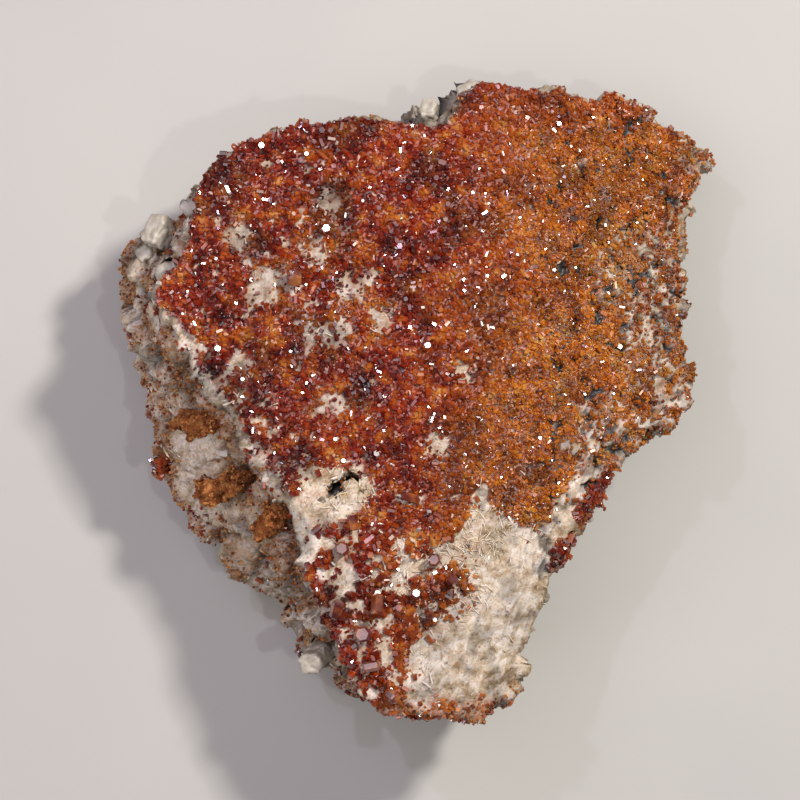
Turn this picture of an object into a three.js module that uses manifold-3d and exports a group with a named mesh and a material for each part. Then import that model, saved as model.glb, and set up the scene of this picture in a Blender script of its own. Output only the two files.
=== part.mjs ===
// Vanadinite on barite matrix: a hand-sized mineral specimen, in millimetres, +Z up.
// It rests on the flat foot of the barite matrix. The origin is under the middle of the whole
// specimen, on the surface that it stands on. The crystal-bearing face is on top.
import * as THREE from "three";
import { ImprovedNoise } from "three/addons/math/ImprovedNoise.js";
import { mergeVertices } from "three/addons/utils/BufferGeometryUtils.js";
import Module from "manifold-3d";

const wasm = await Module();
wasm.setup();

// ---------------------------------------------------------------- driving dimensions

const CROWN_HEIGHT = 30; // of the crystal-bearing face over the foot, at the middle
const FACE_SLOPE_X = -0.1; // rise of the face for each millimetre towards +X
const FACE_SLOPE_Y = -0.05;
const SHOULDER = { x: 17, y: 25, bearing: 40, drop: 0.3, blend: 5 }; // the far corner falls away
const FACE_RELIEF = 1.3; // height of the face's low swells
const EDGE_ROUNDING = 1.4; // how far the face dips at its rim
const GIRTH_SHARE = 0.42; // height of the widest level, as a share of the rim's height
const FOOT_SHARE = 0.82; // size of the flat foot, as a share of the widest level
const WALL_ROUGHNESS = 1.54; // depth of the broken walls' lumps
const RING_SPREAD = 0.8; // below 1, the face's rings crowd towards its rim
const ROUNDING_POWER = 10; // how suddenly the rim's rounding sets in
const GIRTH_DEPTH = 0.55; // how far down the wall the widest level lies, as a share of the wall
const WIDENING_END = 0.62; // where the wall stops widening, as a share of the wall
const NARROWING = [0.6, 1.05]; // where it draws in towards the foot
const FACE_LUMPS = { broad: 15, fine: 6.5, fineShare: 0.45 };
const WALL_LUMPS = { broad: 11, fine: 5, fineShare: 0.6 };

const CARPET_THICKNESS = 1.3; // from the barite to the tips of the small crystals
const CRUST_THICKNESS = 1.0;
const GAP = 0.3; // clearance between touching solids

// The grid of the matrix's skin. The carpet shares its face.
const COLUMNS = 64;
const FACE_RINGS = 8;
const WALL_RINGS = 8;
const FOOT_RING = FACE_RINGS + WALL_RINGS;
const RINGS = FOOT_RING + 1;

// Rim of the crystal-bearing face, anticlockwise from the tip of the far right corner.
const FACE_OUTLINE = [
  [43, 35], [39.6, 37], [35.2, 39.6], [32, 41.6], [28.2, 43.8], [22.4, 43.2], [15.2, 44.4],
  [10.4, 45.2], [7.8, 44.2], [6.7, 41], [5.9, 37.8], [-1, 38.8], [-10, 39.5], [-18, 37.5],
  [-25, 36], [-29.3, 33], [-31.2, 27], [-32, 22], [-34, 17.5], [-37.2, 13.8], [-35.2, 11],
  [-33.3, 7], [-31, 1.8], [-27, -2], [-24.3, -6], [-22.4, -11], [-18.6, -15.7], [-16.8, -21],
  [-15.6, -26], [-13.6, -31], [-10.5, -36.5], [-8.5, -41.8], [-5, -45.4], [3.5, -44.2],
  [11.8, -44.6], [14, -39.5], [15.4, -35], [18.8, -29], [19.4, -24.8], [22.5, -19.5], [25.5, -15],
  [27.2, -11], [30.4, -7.2], [33.8, -5], [39.3, 0.4], [39.6, 4], [38.2, 11], [39.3, 18], [37.6, 23],
  [40.8, 30],
];

// Widest level of the matrix, seen from above, anticlockwise from the same corner.
const GIRTH_OUTLINE = [
  [40.8, 34], [32, 40], [17.4, 43.4], [10.8, 45.6], [7.8, 46.6], [5.2, 46], [3.4, 43.6], [-2.8, 40.2],
  [-10, 38.8], [-20, 36.5], [-28, 33.2], [-33, 27], [-38, 25], [-41.8, 21.8], [-43.2, 16.5],
  [-42.6, 11], [-41.6, 5.2], [-40.4, -1.8], [-38.8, -5.4], [-38.3, -10], [-35, -16], [-31, -21],
  [-27, -26], [-21.8, -29.2], [-18.2, -32.4], [-16.8, -39.4], [-12.8, -40.2], [-10.2, -43],
  [-4.6, -45.4], [4, -43], [10.5, -42.8], [14, -36], [17.6, -28], [20.5, -20.5], [25, -13.5],
  [31, -5.5], [37.6, 2], [36.4, 12], [36, 22],
];

// Where vanadinite covers the face, anticlockwise from the same corner.
const CARPET_OUTLINE = [
  [41.8, 34], [37.6, 37], [33, 40], [28, 42.6], [21, 42.2], [14, 43.4], [9.7, 44], [7.6, 40.5],
  [6.8, 37], [-1, 37.8], [-10, 38.5], [-18, 37], [-25, 35], [-28.6, 32], [-30.4, 26], [-31.6, 20.5],
  [-35.6, 13.6], [-32.4, 10.6], [-30.6, 7], [-30.4, 3.6], [-24, -3.4], [-21.8, -9], [-17.4, -13.6],
  [-14.6, -11.6], [-11.6, -9.8], [-7.6, -10.4], [-6, -13.4], [-7.6, -16.8], [-14, -19], [-15, -25],
  [-13.6, -31], [-10, -37], [-5.6, -43.4], [-3.2, -43], [-3, -38.6], [-1.4, -34], [3.4, -29.8],
  [6.8, -27], [5.2, -24.4], [-1.8, -25.6], [-3, -23.2], [1.2, -21.2], [5.6, -17.8], [7.6, -12.6],
  [10.4, -10.4], [12, -15], [15.8, -18], [18.6, -15.6], [21.8, -10.4], [23.2, -4.6], [27.2, -3],
  [30.4, -5.4], [34, -2.6], [35.2, 2.4], [33.6, 6.4], [30.6, 9], [28.6, 13.4], [28.4, 18.6],
  [33, 22.2], [36.8, 23.6], [39.6, 29],
];

// Bare windows in the carpet, where the barite shows: centre, half axes, turn in degrees.
const WINDOWS = [
  { x: -21.6, y: 15.2, long: 2.9, short: 1.9, turn: 70 },
  { x: -8.6, y: 16.6, long: 3.2, short: 1.5, turn: 40 },
  { x: -5.2, y: 10.6, long: 2.2, short: 0.9, turn: 75 },
  { x: -12.2, y: -1.2, long: 1.8, short: 1.1, turn: 25 },
  { x: 3, y: -7, long: 1.9, short: 1.4, turn: 120 },
  { x: 6.8, y: 3.6, long: 1.3, short: 0.9, turn: 60 },
  { x: -14.4, y: 20.2, long: 2, short: 1.1, turn: -35 },
  { x: -11.4, y: 9, long: 2, short: 1.2, turn: 60 },
  { x: -12.4, y: 27.4, long: 1.9, short: 1.1, turn: 110 },
  { x: -25.2, y: 22.8, long: 1.8, short: 1.1, turn: 40 },
  { x: -10, y: -26.2, long: 1.4, short: 1.1, turn: 20 },
];

// The open vug beside the near rim: three narrow slots through the barite skin.
const VUG_SLOTS = [
  { x: -11.2, y: -13.4, long: 2.6, short: 1.1, deep: 5, turn: 40 },
  { x: -8.9, y: -12, long: 1.3, short: 0.7, deep: 4, turn: -20 },
  { x: -8, y: -13.4, long: 0.9, short: 0.7, deep: 4, turn: 10 },
];

// Larger vanadinite crystals. lean is from upright, towards the compass angle bearing.
const CRYSTALS = [
  { x: -8.9, y: -18.8, wide: 1.5, tall: 2.2, lean: 80, bearing: 95, spin: 30 },
  { x: -10.4, y: -21.4, wide: 2.1, tall: 1.8, lean: 5, bearing: 150, spin: 10 },
  { x: -7.5, y: -33.6, wide: 2.5, tall: 1.9, lean: 7, bearing: 140, spin: 40 },
  { x: -7.4, y: -38.2, wide: 1.5, tall: 2.3, lean: 78, bearing: 12, spin: 0 },
  { x: 2.6, y: -23.2, wide: 1.9, tall: 2, lean: 9, bearing: 130, spin: 20 },
  { x: -0.4, y: -28.2, wide: 1.6, tall: 1.9, lean: 20, bearing: 60, spin: 50 },
  { x: -11.6, y: -31.2, wide: 1.7, tall: 2.7, lean: 70, bearing: 75, spin: 15 },
  { x: 1.6, y: -30.4, wide: 1.3, tall: 1.7, lean: 18, bearing: 300, spin: 5 },
  { x: -3.9, y: -41.9, wide: 1.7, tall: 2, lean: 35, bearing: 330, spin: 25 },
  { x: -13.2, y: 23.4, wide: 1.4, tall: 1.8, lean: 19, bearing: 38, spin: 35 },
  { x: 1.2, y: 6.9, wide: 1.1, tall: 1.6, lean: 18, bearing: 42, spin: 20 },
  { x: -17.4, y: 17.4, wide: 2.3, tall: 2.3, lean: 35, bearing: 280, spin: 0 },
  { x: 0.2, y: -14.6, wide: 1.3, tall: 2.5, lean: 82, bearing: 165, spin: 30 },
  { x: -5.4, y: -28, wide: 1.9, tall: 3.1, lean: 62, bearing: 265, spin: 10 },
  { x: 4.6, y: -26, wide: 1.5, tall: 1.8, lean: 24, bearing: 20, spin: 45 },
  { x: -28.4, y: 6.4, wide: 1.2, tall: 1.7, lean: 19, bearing: 36, spin: 0 },
];

// Blocky barite crystals on the broken walls. x, y and z place the root, inside the matrix.
const BLADES = [
  { x: -33, y: 17.2, z: 17, wide: 3.8, thick: 3.4, tall: 10, lean: 16, bearing: 172, spin: 15 },
  { x: -32.8, y: 21.8, z: 15, wide: 5, thick: 3.2, tall: 10.5, lean: 34, bearing: 155, spin: 60 },
  { x: -36.6, y: 19.8, z: 13, wide: 2.6, thick: 2.2, tall: 8, lean: 24, bearing: 160, spin: 30 },
  { x: -30.6, y: 26, z: 18, wide: 2.8, thick: 2.4, tall: 9, lean: 14, bearing: 150, spin: 20 },
  { x: -12.4, y: -35.6, z: 17, wide: 3.8, thick: 3, tall: 10, lean: 24, bearing: 224, spin: 10 },
  { x: 8, y: 40, z: 12, wide: 4.2, thick: 3.2, tall: 9, lean: 32, bearing: 92, spin: 40 },
  { x: 2.2, y: 37.8, z: 11, wide: 3.6, thick: 2.6, tall: 9, lean: 30, bearing: 96, spin: 75 },
];

// Crusts on the walls: compass bearing, how far down the wall they sit, and their size.
const WALL_CRUSTS = [
  { name: "iron_oxide_crust_upper", bearing: 187, down: 0.24, wide: 8, high: 7, look: "ochre" },
  { name: "iron_oxide_crust_middle", bearing: 205, down: 0.3, wide: 9, high: 8, look: "ochre" },
  { name: "iron_oxide_crust_lower", bearing: 221, down: 0.2, wide: 7, high: 7, look: "ochre" },
  { name: "vanadinite_crust_west", bearing: 195, down: 0.5, wide: 6, high: 5, look: "vanadinite" },
  { name: "vanadinite_crust_south", bearing: 273, down: 0.14, wide: 9, high: 3, look: "vanadinite" },
  { name: "vanadinite_crust_southeast", bearing: 313, down: 0.2, wide: 5, high: 4, look: "vanadinite" },
  { name: "vanadinite_crust_east", bearing: 331, down: 0.18, wide: 5, high: 5, look: "vanadinite" },
];

const MATERIALS = {
  barite: new THREE.MeshStandardMaterial({ color: 0xd9cbb4, roughness: 0.7, metalness: 0 }),
  vanadinite: new THREE.MeshStandardMaterial({ color: 0x9c3a1c, roughness: 0.25, metalness: 0 }),
  ochre: new THREE.MeshStandardMaterial({ color: 0x9a6233, roughness: 0.95, metalness: 0 }),
};

// ---------------------------------------------------------------- helpers

const noise = new ImprovedNoise();

/** Smooth noise, about -1 to 1, whose lumps are about `size` millimetres apart. */
function lumps(point, size, layer = 0) {
  return noise.noise(point.x / size, point.y / size, point.z / size + layer);
}

/** A vector in the ground plane at a compass angle, anticlockwise from +X. */
function towards(degrees, length = 1) {
  const angle = THREE.MathUtils.degToRad(degrees);
  return new THREE.Vector3(Math.cos(angle), Math.sin(angle), 0).multiplyScalar(length);
}

/** Distance from the origin to a closed outline, as a function of the compass angle. */
function radiusOf(outline) {
  const corners = outline.map(([x, y]) => new THREE.Vector3(x, y, 0));
  const curve = new THREE.CatmullRomCurve3(corners, true, "centripetal");
  const samples = curve.getPoints(outline.length * 8).slice(1).map((point) => ({
    angle: THREE.MathUtils.euclideanModulo(Math.atan2(point.y, point.x), 2 * Math.PI),
    radius: Math.hypot(point.x, point.y),
  }));
  samples.sort((a, b) => a.angle - b.angle);
  const first = { ...samples[0], angle: samples[0].angle + 2 * Math.PI };
  const last = { ...samples.at(-1), angle: samples.at(-1).angle - 2 * Math.PI };
  const ring = [last, ...samples, first];
  return (angle) => {
    const wanted = THREE.MathUtils.euclideanModulo(angle, 2 * Math.PI);
    const next = ring.findIndex((sample) => sample.angle > wanted);
    const [low, high] = [ring[next - 1], ring[next]];
    const share = (wanted - low.angle) / (high.angle - low.angle);
    return THREE.MathUtils.lerp(low.radius, high.radius, share);
  };
}

/** A manifold solid of a closed three.js geometry. */
function solidOf(geometry) {
  const bare = geometry.clone();
  bare.deleteAttribute("normal");
  bare.deleteAttribute("uv");
  const merged = mergeVertices(bare, 1e-4);
  return new wasm.Manifold(new wasm.Mesh({
    numProp: 3,
    vertProperties: merged.attributes.position.array,
    triVerts: new Uint32Array(merged.index.array),
  }));
}

/** The largest body of a manifold solid, as a three.js geometry. */
function geometryOf(solid) {
  const bodies = solid.decompose().sort((a, b) => b.volume() - a.volume());
  const mesh = bodies[0].getMesh();
  return new THREE.BufferGeometry()
    .setAttribute("position", new THREE.BufferAttribute(mesh.vertProperties, 3))
    .setIndex(new THREE.BufferAttribute(mesh.triVerts, 1));
}

/** A closed skin of COLUMNS by `rows`, from a sphere whose vertices go where `place(row, angle)` says. */
function closedSkin(rows, place) {
  const skin = new THREE.SphereGeometry(1, COLUMNS, rows);
  const position = skin.attributes.position;
  for (let index = 0; index < position.count; index += 1) {
    const row = Math.floor(index / (COLUMNS + 1));
    const column = index % (COLUMNS + 1) % COLUMNS;
    position.setXYZ(index, ...place(row, (2 * Math.PI * column) / COLUMNS));
  }
  return skin;
}

// ---------------------------------------------------------------- the matrix's surface

const faceRadius = radiusOf(FACE_OUTLINE);
const girthRadius = radiusOf(GIRTH_OUTLINE);

/** Height of the crystal-bearing face at a point, before its rim is rounded. */
function faceHeight(x, y) {
  const out = towards(SHOULDER.bearing);
  const past = (x - SHOULDER.x) * out.x + (y - SHOULDER.y) * out.y;
  const shoulder = SHOULDER.drop * SHOULDER.blend * Math.log1p(Math.exp(past / SHOULDER.blend));
  const { broad, fine, fineShare } = FACE_LUMPS;
  const swell = lumps({ x, y, z: 0 }, broad) + fineShare * lumps({ x, y, z: 0 }, fine, 7);
  return CROWN_HEIGHT + FACE_SLOPE_X * x + FACE_SLOPE_Y * y - shoulder + FACE_RELIEF * swell;
}

/** A grid point on the face: row 0 is its middle and row FACE_RINGS its rim. */
function facePoint(row, angle) {
  const share = (row / FACE_RINGS) ** RING_SPREAD;
  const radius = share * faceRadius(angle);
  const [x, y] = [radius * Math.cos(angle), radius * Math.sin(angle)];
  return [x, y, faceHeight(x, y) - EDGE_ROUNDING * share ** ROUNDING_POWER];
}

/** A point `outwards` millimetres off the wall, at a depth from 0 at the rim to 1 at the foot. */
function wallPoint(depth, angle, outwards = 0) {
  const [rimX, rimY, rimZ] = facePoint(FACE_RINGS, angle);
  const rim = Math.hypot(rimX, rimY);
  const girth = girthRadius(angle);
  const toGirth = THREE.MathUtils.smoothstep(depth, 0, WIDENING_END);
  const toFoot = THREE.MathUtils.smoothstep(depth, ...NARROWING);
  const height = depth < GIRTH_DEPTH
    ? THREE.MathUtils.lerp(rimZ, GIRTH_SHARE * rimZ, depth / GIRTH_DEPTH)
    : THREE.MathUtils.lerp(GIRTH_SHARE * rimZ, 0, (depth - GIRTH_DEPTH) / (1 - GIRTH_DEPTH));
  const smooth = THREE.MathUtils.lerp(rim, girth, toGirth) * (1 - (1 - FOOT_SHARE) * toFoot);
  const at = { x: smooth * Math.cos(angle), y: smooth * Math.sin(angle), z: height };
  const { broad, fine, fineShare } = WALL_LUMPS;
  const rough = lumps(at, broad, 3) + fineShare * lumps(at, fine, 9);
  const fade = Math.sin(Math.PI * THREE.MathUtils.clamp(depth, 0, 1)) ** 0.5;
  const radius = smooth + WALL_ROUGHNESS * rough * fade + outwards;
  return [radius * Math.cos(angle), radius * Math.sin(angle), Math.max(height, 0)];
}

/** The whole outside of the matrix, row by row from the middle of the face to that of the foot. */
function matrixPoint(row, angle) {
  if (row <= FACE_RINGS) return facePoint(row, angle);
  if (row <= FOOT_RING) return wallPoint((row - FACE_RINGS) / WALL_RINGS, angle);
  return [0, 0, 0];
}

// ---------------------------------------------------------------- what grows on it

/** An upright prism of a flat shape, from z = low to z = high. */
function uprightPrism(shape, low, high) {
  const prism = new THREE.ExtrudeGeometry(shape, {
    depth: high - low,
    bevelEnabled: false,
    curveSegments: 6,
  });
  return prism.translate(0, 0, low);
}

function ellipseShape({ x, y, long, short, turn }) {
  return new THREE.Shape().absellipse(x, y, long, short, 0, 2 * Math.PI, false,
    THREE.MathUtils.degToRad(turn));
}

/** The slab through the whole face that the carpet is cut from. */
function faceSlab() {
  const rows = 2 * FACE_RINGS + 1;
  return closedSkin(rows, (row, angle) => {
    const upper = row <= FACE_RINGS;
    const [x, y, z] = facePoint(upper ? row : rows - row, angle);
    return [x, y, z + (upper ? GAP + CARPET_THICKNESS : -CARPET_THICKNESS)];
  });
}

/** Hexagonal prism with bevelled ends, standing on z = 0, grown by `extra` all round. */
function hexagonalCrystal({ wide, tall }, extra = 0) {
  const radius = wide / 2 + extra;
  const bevel = 0.14 * wide;
  const profile = [
    [0, -extra], [radius - bevel, -extra], [radius, bevel - extra],
    [radius, tall - bevel + extra], [radius - bevel, tall + extra], [0, tall + extra],
  ].map(([x, y]) => new THREE.Vector2(x, y));
  return new THREE.LatheGeometry(profile, 6).rotateX(Math.PI / 2);
}

/** Rhombic barite tablet with bevelled edges, standing on z = 0, grown by `extra` all round. */
function bariteTablet({ wide, thick, tall }, extra = 0) {
  const [halfWide, halfThick] = [wide / 2 + extra, thick / 2 + extra];
  const outline = new THREE.Shape([
    [halfWide, -0.3 * halfThick], [0.75 * halfWide, halfThick], [-0.6 * halfWide, halfThick],
    [-halfWide, 0.4 * halfThick], [-0.8 * halfWide, -halfThick], [0.55 * halfWide, -halfThick],
  ].map(([x, y]) => new THREE.Vector2(x, y)));
  const bevel = 0.1 * thick;
  const tablet = new THREE.ExtrudeGeometry(outline, {
    depth: tall + 2 * extra - 2 * bevel,
    bevelThickness: bevel,
    bevelSize: bevel,
    bevelOffset: -bevel,
    bevelSegments: 1,
  });
  return tablet.translate(0, 0, bevel - extra);
}

/** Turns a standing geometry by its spin, leans it towards its bearing and puts it in place. */
function settle(geometry, { x, y, lean, bearing, spin }, z) {
  const axis = towards(bearing + 90);
  const turn = new THREE.Quaternion().setFromAxisAngle(axis, THREE.MathUtils.degToRad(lean));
  return geometry
    .rotateZ(THREE.MathUtils.degToRad(spin))
    .applyQuaternion(turn)
    .translate(x, y, z);
}

/** How high a large crystal's root stands, so that a third of the crystal is held by the carpet. */
function rootHeight({ x, y, wide, lean }) {
  const lying = Math.sin(THREE.MathUtils.degToRad(lean));
  return faceHeight(x, y) + 0.5 + 0.5 * wide * lying;
}

/** A lens-shaped crust that follows the wall, half sunk in it and grown by `extra` all round. */
function wallCrust({ bearing, down, wide, high }, extra = 0) {
  const middle = THREE.MathUtils.degToRad(bearing);
  const halfAngle = (wide / 2 + extra) / girthRadius(middle);
  const halfDepth = (high / 2 + extra) / CROWN_HEIGHT;
  const lens = new THREE.SphereGeometry(1, 10, 6);
  const position = lens.attributes.position;
  const unit = new THREE.Vector3();
  for (let index = 0; index < position.count; index += 1) {
    unit.fromBufferAttribute(position, index);
    const ragged = 1 + 0.3 * lumps({ x: unit.x, y: unit.z, z: bearing }, 0.8);
    const depth = down + ragged * halfDepth * unit.z;
    const angle = middle + ragged * halfAngle * unit.x;
    const outwards = (CRUST_THICKNESS + extra) * unit.y;
    position.setXYZ(index, ...wallPoint(depth, angle, outwards));
  }
  return lens;
}

// ---------------------------------------------------------------- assembly

const specimen = new THREE.Group();
const body = new THREE.Group();
specimen.add(body);

function addPiece(name, geometry, look) {
  const mesh = new THREE.Mesh(geometry, MATERIALS[look]);
  mesh.name = name;
  body.add(mesh);
}

const numbered = (name, index) => `${name}_${String(index + 1).padStart(2, "0")}`;

const outlineShape = new THREE.Shape(CARPET_OUTLINE.map(([x, y]) => new THREE.Vector2(x, y)));
outlineShape.holes = WINDOWS.map(ellipseShape);
let carpet = solidOf(faceSlab())
  .intersect(solidOf(uprightPrism(outlineShape, 0, 2 * CROWN_HEIGHT)))
  .subtract(solidOf(closedSkin(RINGS, matrixPoint).translate(0, 0, GAP)));
let matrix = solidOf(closedSkin(RINGS, matrixPoint));

for (const slot of VUG_SLOTS) {
  const floor = faceHeight(slot.x, slot.y) - slot.deep;
  matrix = matrix.subtract(solidOf(uprightPrism(ellipseShape(slot), floor, 2 * CROWN_HEIGHT)));
}

CRYSTALS.forEach((crystal, index) => {
  const root = rootHeight(crystal);
  const socket = solidOf(settle(hexagonalCrystal(crystal, GAP), crystal, root));
  carpet = carpet.subtract(socket);
  matrix = matrix.subtract(socket);
  const grown = settle(hexagonalCrystal(crystal), crystal, root);
  addPiece(numbered("vanadinite_crystal", index), geometryOf(solidOf(grown)), "vanadinite");
});

BLADES.forEach((blade, index) => {
  const socket = solidOf(settle(bariteTablet(blade, GAP), blade, blade.z));
  matrix = matrix.subtract(socket);
  carpet = carpet.subtract(socket);
  const tablet = settle(bariteTablet(blade), blade, blade.z);
  addPiece(numbered("barite_blade", index), geometryOf(solidOf(tablet)), "barite");
});

for (const crust of WALL_CRUSTS) {
  matrix = matrix.subtract(solidOf(wallCrust(crust, GAP)));
  addPiece(crust.name, geometryOf(solidOf(wallCrust(crust))), crust.look);
}
addPiece("vanadinite_carpet", geometryOf(carpet), "vanadinite");
addPiece("barite_matrix", geometryOf(matrix), "barite");

// The origin goes under the middle of the specimen.
const middle = new THREE.Box3().setFromObject(body).getCenter(new THREE.Vector3());
body.position.set(-middle.x, -middle.y, 0);

export default specimen;
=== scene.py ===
"""The visual model of a vanadinite specimen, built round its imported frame.

The specimen is a broken lump of barite with a carpet of small hexagonal vanadinite crystals on its upper
face. The rock's skin is a weathered copy of the frame's matrix. Attributes on the skin say what grows
where, and Geometry Nodes grow the crystals, plates, fibres and crumbs from them.

Lengths are in metres, as in the frame. Sizes named in millimetres are multiplied by MM.
"""

import logging
import math
from dataclasses import dataclass, field
from enum import Enum
from typing import Any, Callable

import bmesh
import bpy
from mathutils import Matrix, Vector, noise
from mathutils.bvhtree import BVHTree
from mathutils.kdtree import KDTree


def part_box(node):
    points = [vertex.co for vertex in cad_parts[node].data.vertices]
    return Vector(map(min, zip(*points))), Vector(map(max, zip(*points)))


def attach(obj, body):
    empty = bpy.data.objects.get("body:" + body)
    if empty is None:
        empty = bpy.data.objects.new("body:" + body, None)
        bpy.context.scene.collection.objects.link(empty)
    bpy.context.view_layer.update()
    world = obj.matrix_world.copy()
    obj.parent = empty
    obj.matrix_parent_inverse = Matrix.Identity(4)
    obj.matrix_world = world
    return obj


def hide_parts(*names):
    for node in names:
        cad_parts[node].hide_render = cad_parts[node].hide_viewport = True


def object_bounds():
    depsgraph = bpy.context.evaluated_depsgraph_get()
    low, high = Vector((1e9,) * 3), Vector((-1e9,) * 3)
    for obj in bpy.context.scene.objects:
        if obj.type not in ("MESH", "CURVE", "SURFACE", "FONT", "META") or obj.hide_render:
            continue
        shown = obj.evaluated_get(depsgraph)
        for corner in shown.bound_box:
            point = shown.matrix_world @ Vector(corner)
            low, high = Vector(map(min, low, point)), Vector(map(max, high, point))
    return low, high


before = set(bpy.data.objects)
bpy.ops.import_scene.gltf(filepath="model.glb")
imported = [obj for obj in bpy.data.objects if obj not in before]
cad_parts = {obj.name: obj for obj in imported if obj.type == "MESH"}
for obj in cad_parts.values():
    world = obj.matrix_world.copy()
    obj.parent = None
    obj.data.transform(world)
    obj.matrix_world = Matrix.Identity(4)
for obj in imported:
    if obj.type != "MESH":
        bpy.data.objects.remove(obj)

LOG = logging.getLogger("specimen")
MM = 0.001
CAD_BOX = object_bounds()
BOX_LOW, BOX_HIGH = (Vector(corner) / MM for corner in CAD_BOX)
BOX_MIDDLE, BOX_HALF = (BOX_LOW + BOX_HIGH) / 2, (BOX_HIGH - BOX_LOW) / 2
SIDES = 8  # compass directions in which a place is searched round
UP = Vector((0.0, 0.0, 1.0))


# ------------------------------------------------------------------ small helpers


def linear(hex_colour: str) -> tuple[float, float, float, float]:
    """Turns an sRGB hex colour into linear red, green, blue and alpha.

    Args:
        hex_colour: A colour such as "#d8ccbc".

    Returns:
        Four numbers from 0 to 1, with alpha 1.
    """
    values = [int(hex_colour[at:at + 2], 16) / 255 for at in (1, 3, 5)]
    low, high = 0.04045, 12.92
    red, green, blue = (v / high if v <= low else ((v + 0.055) / 1.055) ** 2.4 for v in values)
    return (red, green, blue, 1.0)


def add_node(
    tree: bpy.types.NodeTree,
    kind: str,
    inputs: dict[Any, Any] | None = None,
    stops: dict[float, str] | None = None,
    **settings: Any,
) -> bpy.types.Node:
    """Adds a node to a tree, with its settings, values, colour stops and links.

    Args:
        tree: The tree that gets the node.
        kind: The node's type name.
        inputs: Socket name or index to a plain value, or to a node or socket to link from.
        stops: For a colour ramp, place on the ramp to hex colour, in order.
        settings: Properties of the node itself.

    Returns:
        The new node.
    """
    node = tree.nodes.new(kind)
    for name, value in settings.items():
        setattr(node, name, value)
    for at, (place, colour) in enumerate((stops or {}).items()):
        elements = node.color_ramp.elements
        element = elements[at] if at < len(elements) else elements.new(place)
        element.position = place
        element.color = linear(colour)
    for key, value in (inputs or {}).items():
        usable = [entry for entry in node.inputs if entry.enabled and entry.name == key]
        entry = node.inputs[key] if isinstance(key, int) else usable[0]
        if isinstance(value, bpy.types.Node):
            value = next(out for out in value.outputs if out.enabled)
        if isinstance(value, bpy.types.NodeSocket):
            tree.links.new(value, entry)
        else:
            entry.default_value = value
    return node


def smooth(low: float, high: float, value: float) -> float:
    """Smooth step from 0 at `low` to 1 at `high`; it falls where `low` is the larger."""
    share = min(max((value - low) / (high - low), 0.0), 1.0)
    return share * share * (3 - 2 * share)


def blend(low: float, high: float, share: float) -> float:
    """The value a share of the way from `low` to `high`."""
    return low + (high - low) * share


def lumps(point: Vector, size: float, octaves: int = 3, layer: float = 0.0) -> float:
    """Fractal noise.

    Args:
        point: A place in millimetres.
        size: How far apart the largest lumps are, in millimetres.
        octaves: How many times the detail is halved.
        layer: Picks an unrelated pattern.

    Returns:
        A height of about -1 to 1.
    """
    return noise.fractal(point / size + Vector((layer, layer, layer)), 1.0, 2.0, octaves)


def cleavage(point: Vector, size: float, layer: float = 0.0) -> tuple[float, float]:
    """Tilted, broken faces, like those of a cleaved mineral.

    Args:
        point: A place in millimetres.
        size: The usual width of a face, in millimetres.
        layer: Picks an unrelated pattern.

    Returns:
        The face's height, about -1 to 1, and how near the place is to a crack, 0 to 1.
    """
    spot = point / size + Vector((layer, layer, layer))
    distances, centres = noise.voronoi(spot)
    lean = noise.cell_vector(centres[0] * 7.3) - Vector((0.5, 0.5, 0.5))
    height = 0.8 * noise.cell(centres[0] * 3.1) + 1.6 * lean.dot(spot - centres[0])
    return height, smooth(0.14, 0.0, distances[1] - distances[0])


def merged_copy(name: str) -> bpy.types.Mesh:
    """A copy of a frame node's mesh with its loose triangles joined.

    Args:
        name: The node's name.

    Returns:
        A new closed mesh.
    """
    shell = bmesh.new()
    shell.from_mesh(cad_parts[name].data)
    bmesh.ops.remove_doubles(shell, verts=shell.verts, dist=0.001 * MM)
    mesh = bpy.data.meshes.new(f"{name}_copy")
    shell.to_mesh(mesh)
    shell.free()
    mesh.materials.clear()
    return mesh


def baked(holder: bpy.types.Object, name: str) -> bpy.types.Mesh:
    """Turns an object with modifiers into a plain mesh, and removes the object.

    Args:
        holder: The object that carries the modifiers.
        name: The new mesh's name.

    Returns:
        The evaluated mesh.
    """
    graph = bpy.context.evaluated_depsgraph_get()
    mesh = bpy.data.meshes.new_from_object(
        holder.evaluated_get(graph), preserve_all_data_layers=True, depsgraph=graph
    )
    mesh.name = name
    bpy.data.objects.remove(holder)
    return mesh


def placed(mesh: bpy.types.Mesh, name: str) -> bpy.types.Object:
    """Links a mesh into the scene as an object at the origin."""
    thing = bpy.data.objects.new(name, mesh)
    bpy.context.scene.collection.objects.link(thing)
    return thing


def voxel_copy(name: str, voxel: float) -> bpy.types.Mesh:
    """A copy of a frame node as one even, closed net of small faces.

    Args:
        name: The node's name.
        voxel: The width of a face, in metres.

    Returns:
        The remeshed copy.
    """
    holder = placed(merged_copy(name), f"{name}_holder")
    remesh = holder.modifiers.new("even net", "REMESH")
    remesh.mode = "VOXEL"
    remesh.voxel_size = voxel
    return baked(holder, f"{name}_skin")


def store(mesh: bpy.types.Mesh, name: str, values: list[float]) -> None:
    """Stores one number for each vertex as a named attribute."""
    layer = mesh.attributes.get(name) or mesh.attributes.new(name, "FLOAT", "POINT")
    layer.data.foreach_set("value", values)


def finish_piece(piece: bpy.types.Object, slot: str, *nodes: str) -> None:
    """Makes a piece ride on the specimen's one body, and hides the frame nodes that it replaces.

    Args:
        piece: The finished object.
        slot: Not used.
        nodes: The frame nodes that it replaces.
    """
    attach(piece, "root")
    if nodes:
        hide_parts(*nodes)
    piece.data.calc_loop_triangles()
    LOG.info("%s: %d triangles", piece.name, len(piece.data.loop_triangles))


def nodes_called(start: str) -> list[str]:
    """The names of the frame's nodes that start with some words, in order."""
    return sorted(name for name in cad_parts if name.startswith(start))


# ------------------------------------------------------------------ finishes


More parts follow.
